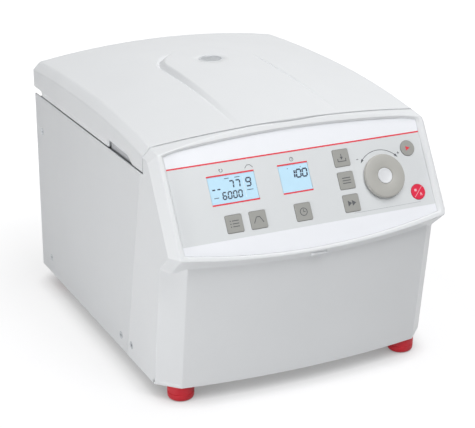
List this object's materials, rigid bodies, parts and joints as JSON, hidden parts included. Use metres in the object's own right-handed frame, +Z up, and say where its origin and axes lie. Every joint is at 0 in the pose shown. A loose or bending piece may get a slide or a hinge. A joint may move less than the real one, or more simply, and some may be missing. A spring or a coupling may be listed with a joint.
{
  "type": "cytocentrifuge",
  "caption": "Bench cytocentrifuge with a domed hinged lid, a sloping control panel with a dial knob and displays, and a swing-out rotor of slide carriers.",
  "frame": {"origin": "on the bench, below the middle of the machine's overall box", "axes": "+X to the operator's right, -Y towards the operator, +Z up"},
  "size_m": [0.28, 0.373, 0.2604],
  "materials": {
    "painted_sheet": "light grey textured powder coat on steel sheet",
    "housing_plastic": "satin pale grey moulded plastic",
    "label_film": "printed polyester film",
    "key_grey": "warm grey moulded keys",
    "key_crimson": "crimson moulded key",
    "display_window": "backlit display window",
    "board_laminate": "green circuit board with its parts",
    "stainless_sheet": "brushed stainless sheet",
    "zinc_steel": "zinc-plated steel",
    "cast_motor": "dark painted motor casing",
    "anodised_rotor": "clear anodised aluminium",
    "seal_rubber": "black rubber",
    "foot_rubber": "dark red rubber",
    "plug_rubber": "grey rubber",
    "slide_glass": "clear glass",
    "funnel_plastic": "natural translucent plastic",
    "black_plastic": "black moulded plastic",
    "sight_metal": "bright plated ring",
    "sight_pane": "clear sight window"
  },
  "bodies": {
    "root": {"side_panel_left": "painted_sheet", "side_panel_right": "painted_sheet", "front_housing": "housing_plastic", "control_overlay": "label_film", "display_glasses": "display_window", "control_board": "board_laminate", "base_plate": "painted_sheet", "rear_panel": "painted_sheet", "chamber_deck": "stainless_sheet", "chamber_bowl": "stainless_sheet", "chamber_gasket": "seal_rubber", "guard_ring": "zinc_steel", "motor": "cast_motor", "motor_plate": "zinc_steel", "motor_dampers": "seal_rubber", "hinge_brackets": "zinc_steel", "hinge_pins": "zinc_steel", "hinge_springs": "zinc_steel", "latch_housing": "zinc_steel", "latch_solenoid": "zinc_steel", "power_inlet": "black_plastic", "main_board": "board_laminate", "feet": "foot_rubber", "screws": "zinc_steel"},
    "lid": {"lid_shell": "housing_plastic", "lid_liner": "stainless_sheet", "lid_striker": "zinc_steel", "lid_hinge_arms": "zinc_steel", "sight_ring": "sight_metal", "sight_glass": "sight_pane"},
    "rotor": {"motor_shaft": "zinc_steel", "rotor_head": "anodised_rotor", "rotor_nut": "anodised_rotor"},
    "carrier_1": {"slide_clip_1": "stainless_sheet", "glass_slide_1": "slide_glass", "sample_funnel_1": "funnel_plastic"},
    "carrier_2": {"slide_clip_2": "stainless_sheet", "glass_slide_2": "slide_glass", "sample_funnel_2": "funnel_plastic"},
    "carrier_3": {"slide_clip_3": "stainless_sheet", "glass_slide_3": "slide_glass", "sample_funnel_3": "funnel_plastic"},
    "carrier_4": {"slide_clip_4": "stainless_sheet", "glass_slide_4": "slide_glass", "sample_funnel_4": "funnel_plastic"},
    "program_key": {"program_key": "key_grey"},
    "recall_key": {"recall_key": "key_grey"},
    "time_key": {"time_key": "key_grey"},
    "memory_key": {"memory_key": "key_grey"},
    "menu_key": {"menu_key": "key_grey"},
    "quick_key": {"quick_key": "key_grey"},
    "start_key": {"start_key": "key_grey"},
    "stop_key": {"stop_key": "key_crimson"},
    "control_knob": {"control_knob": "key_grey"},
    "latch_pawl": {"latch_pawl": "zinc_steel"},
    "solenoid_plunger": {"solenoid_plunger": "zinc_steel"},
    "release_plug": {"release_plug": "plug_rubber"},
    "power_switch": {"power_switch": "black_plastic"},
    "fuse_drawer": {"fuse_drawer": "black_plastic"}
  },
  "joints": [
    {"name": "lid_hinge", "type": "hinge", "parent": "root", "child": "lid", "pos_m": [0, 0.178, 0.2073], "axis": [-1, 0, 0], "range_deg": [0, 78]},
    {"name": "rotor_spin", "type": "hinge", "parent": "root", "child": "rotor", "pos_m": [0, 0.048, 0.158], "axis": [0, 0, 1], "continuous": true},
    {"name": "carrier_1_swing", "type": "hinge", "parent": "rotor", "child": "carrier_1", "pos_m": [0.056, 0.048, 0.158], "axis": [0, -1, 0], "range_deg": [0, 90]},
    {"name": "carrier_2_swing", "type": "hinge", "parent": "rotor", "child": "carrier_2", "pos_m": [0, 0.104, 0.158], "axis": [1, 0, 0], "range_deg": [0, 90]},
    {"name": "carrier_3_swing", "type": "hinge", "parent": "rotor", "child": "carrier_3", "pos_m": [-0.056, 0.048, 0.158], "axis": [0, 1, 0], "range_deg": [0, 90]},
    {"name": "carrier_4_swing", "type": "hinge", "parent": "rotor", "child": "carrier_4", "pos_m": [0, -0.008, 0.158], "axis": [-1, 0, 0], "range_deg": [0, 90]},
    {"name": "program_key_press", "type": "slide", "parent": "root", "child": "program_key", "axis": [0, 0.8616, -0.5075], "range_m": [0, 0.0008], "stiffness_N_per_m": 300},
    {"name": "recall_key_press", "type": "slide", "parent": "root", "child": "recall_key", "axis": [0, 0.8616, -0.5075], "range_m": [0, 0.0008], "stiffness_N_per_m": 300},
    {"name": "time_key_press", "type": "slide", "parent": "root", "child": "time_key", "axis": [0, 0.8616, -0.5075], "range_m": [0, 0.0008], "stiffness_N_per_m": 300},
    {"name": "memory_key_press", "type": "slide", "parent": "root", "child": "memory_key", "axis": [0, 0.8616, -0.5075], "range_m": [0, 0.0008], "stiffness_N_per_m": 300},
    {"name": "menu_key_press", "type": "slide", "parent": "root", "child": "menu_key", "axis": [0, 0.8616, -0.5075], "range_m": [0, 0.0008], "stiffness_N_per_m": 300},
    {"name": "quick_key_press", "type": "slide", "parent": "root", "child": "quick_key", "axis": [0, 0.8616, -0.5075], "range_m": [0, 0.0008], "stiffness_N_per_m": 300},
    {"name": "start_key_press", "type": "slide", "parent": "root", "child": "start_key", "axis": [0, 0.8616, -0.5075], "range_m": [0, 0.0008], "stiffness_N_per_m": 300},
    {"name": "stop_key_press", "type": "slide", "parent": "root", "child": "stop_key", "axis": [0, 0.8616, -0.5075], "range_m": [0, 0.0008], "stiffness_N_per_m": 300},
    {"name": "control_knob_turn", "type": "hinge", "parent": "root", "child": "control_knob", "pos_m": [0.08, -0.15517, 0.18955], "axis": [0, -0.8616, 0.5075], "continuous": true},
    {"name": "latch_pawl_swing", "type": "hinge", "parent": "root", "child": "latch_pawl", "pos_m": [0, -0.1, 0.17], "axis": [-1, 0, 0], "range_deg": [0, 14]},
    {"name": "solenoid_plunger_slide", "type": "slide", "parent": "root", "child": "solenoid_plunger", "axis": [0, -1, 0], "range_m": [0, 0.00316], "stiffness_N_per_m": 60},
    {"name": "release_plug_pull", "type": "slide", "parent": "root", "child": "release_plug", "axis": [0, -0.6428, -0.766], "range_m": [0, 0.008]},
    {"name": "power_switch_rock", "type": "hinge", "parent": "root", "child": "power_switch", "pos_m": [-0.09, 0.181, 0.08], "axis": [1, 0, 0], "range_deg": [-16, 0]},
    {"name": "fuse_drawer_pull", "type": "slide", "parent": "root", "child": "fuse_drawer", "axis": [0, 1, 0], "range_m": [0, 0.014]}
  ],
  "couplings": [
    {"joint": "latch_pawl_swing", "follows": "solenoid_plunger_slide", "rad_per_m": 76.923}
  ]
}
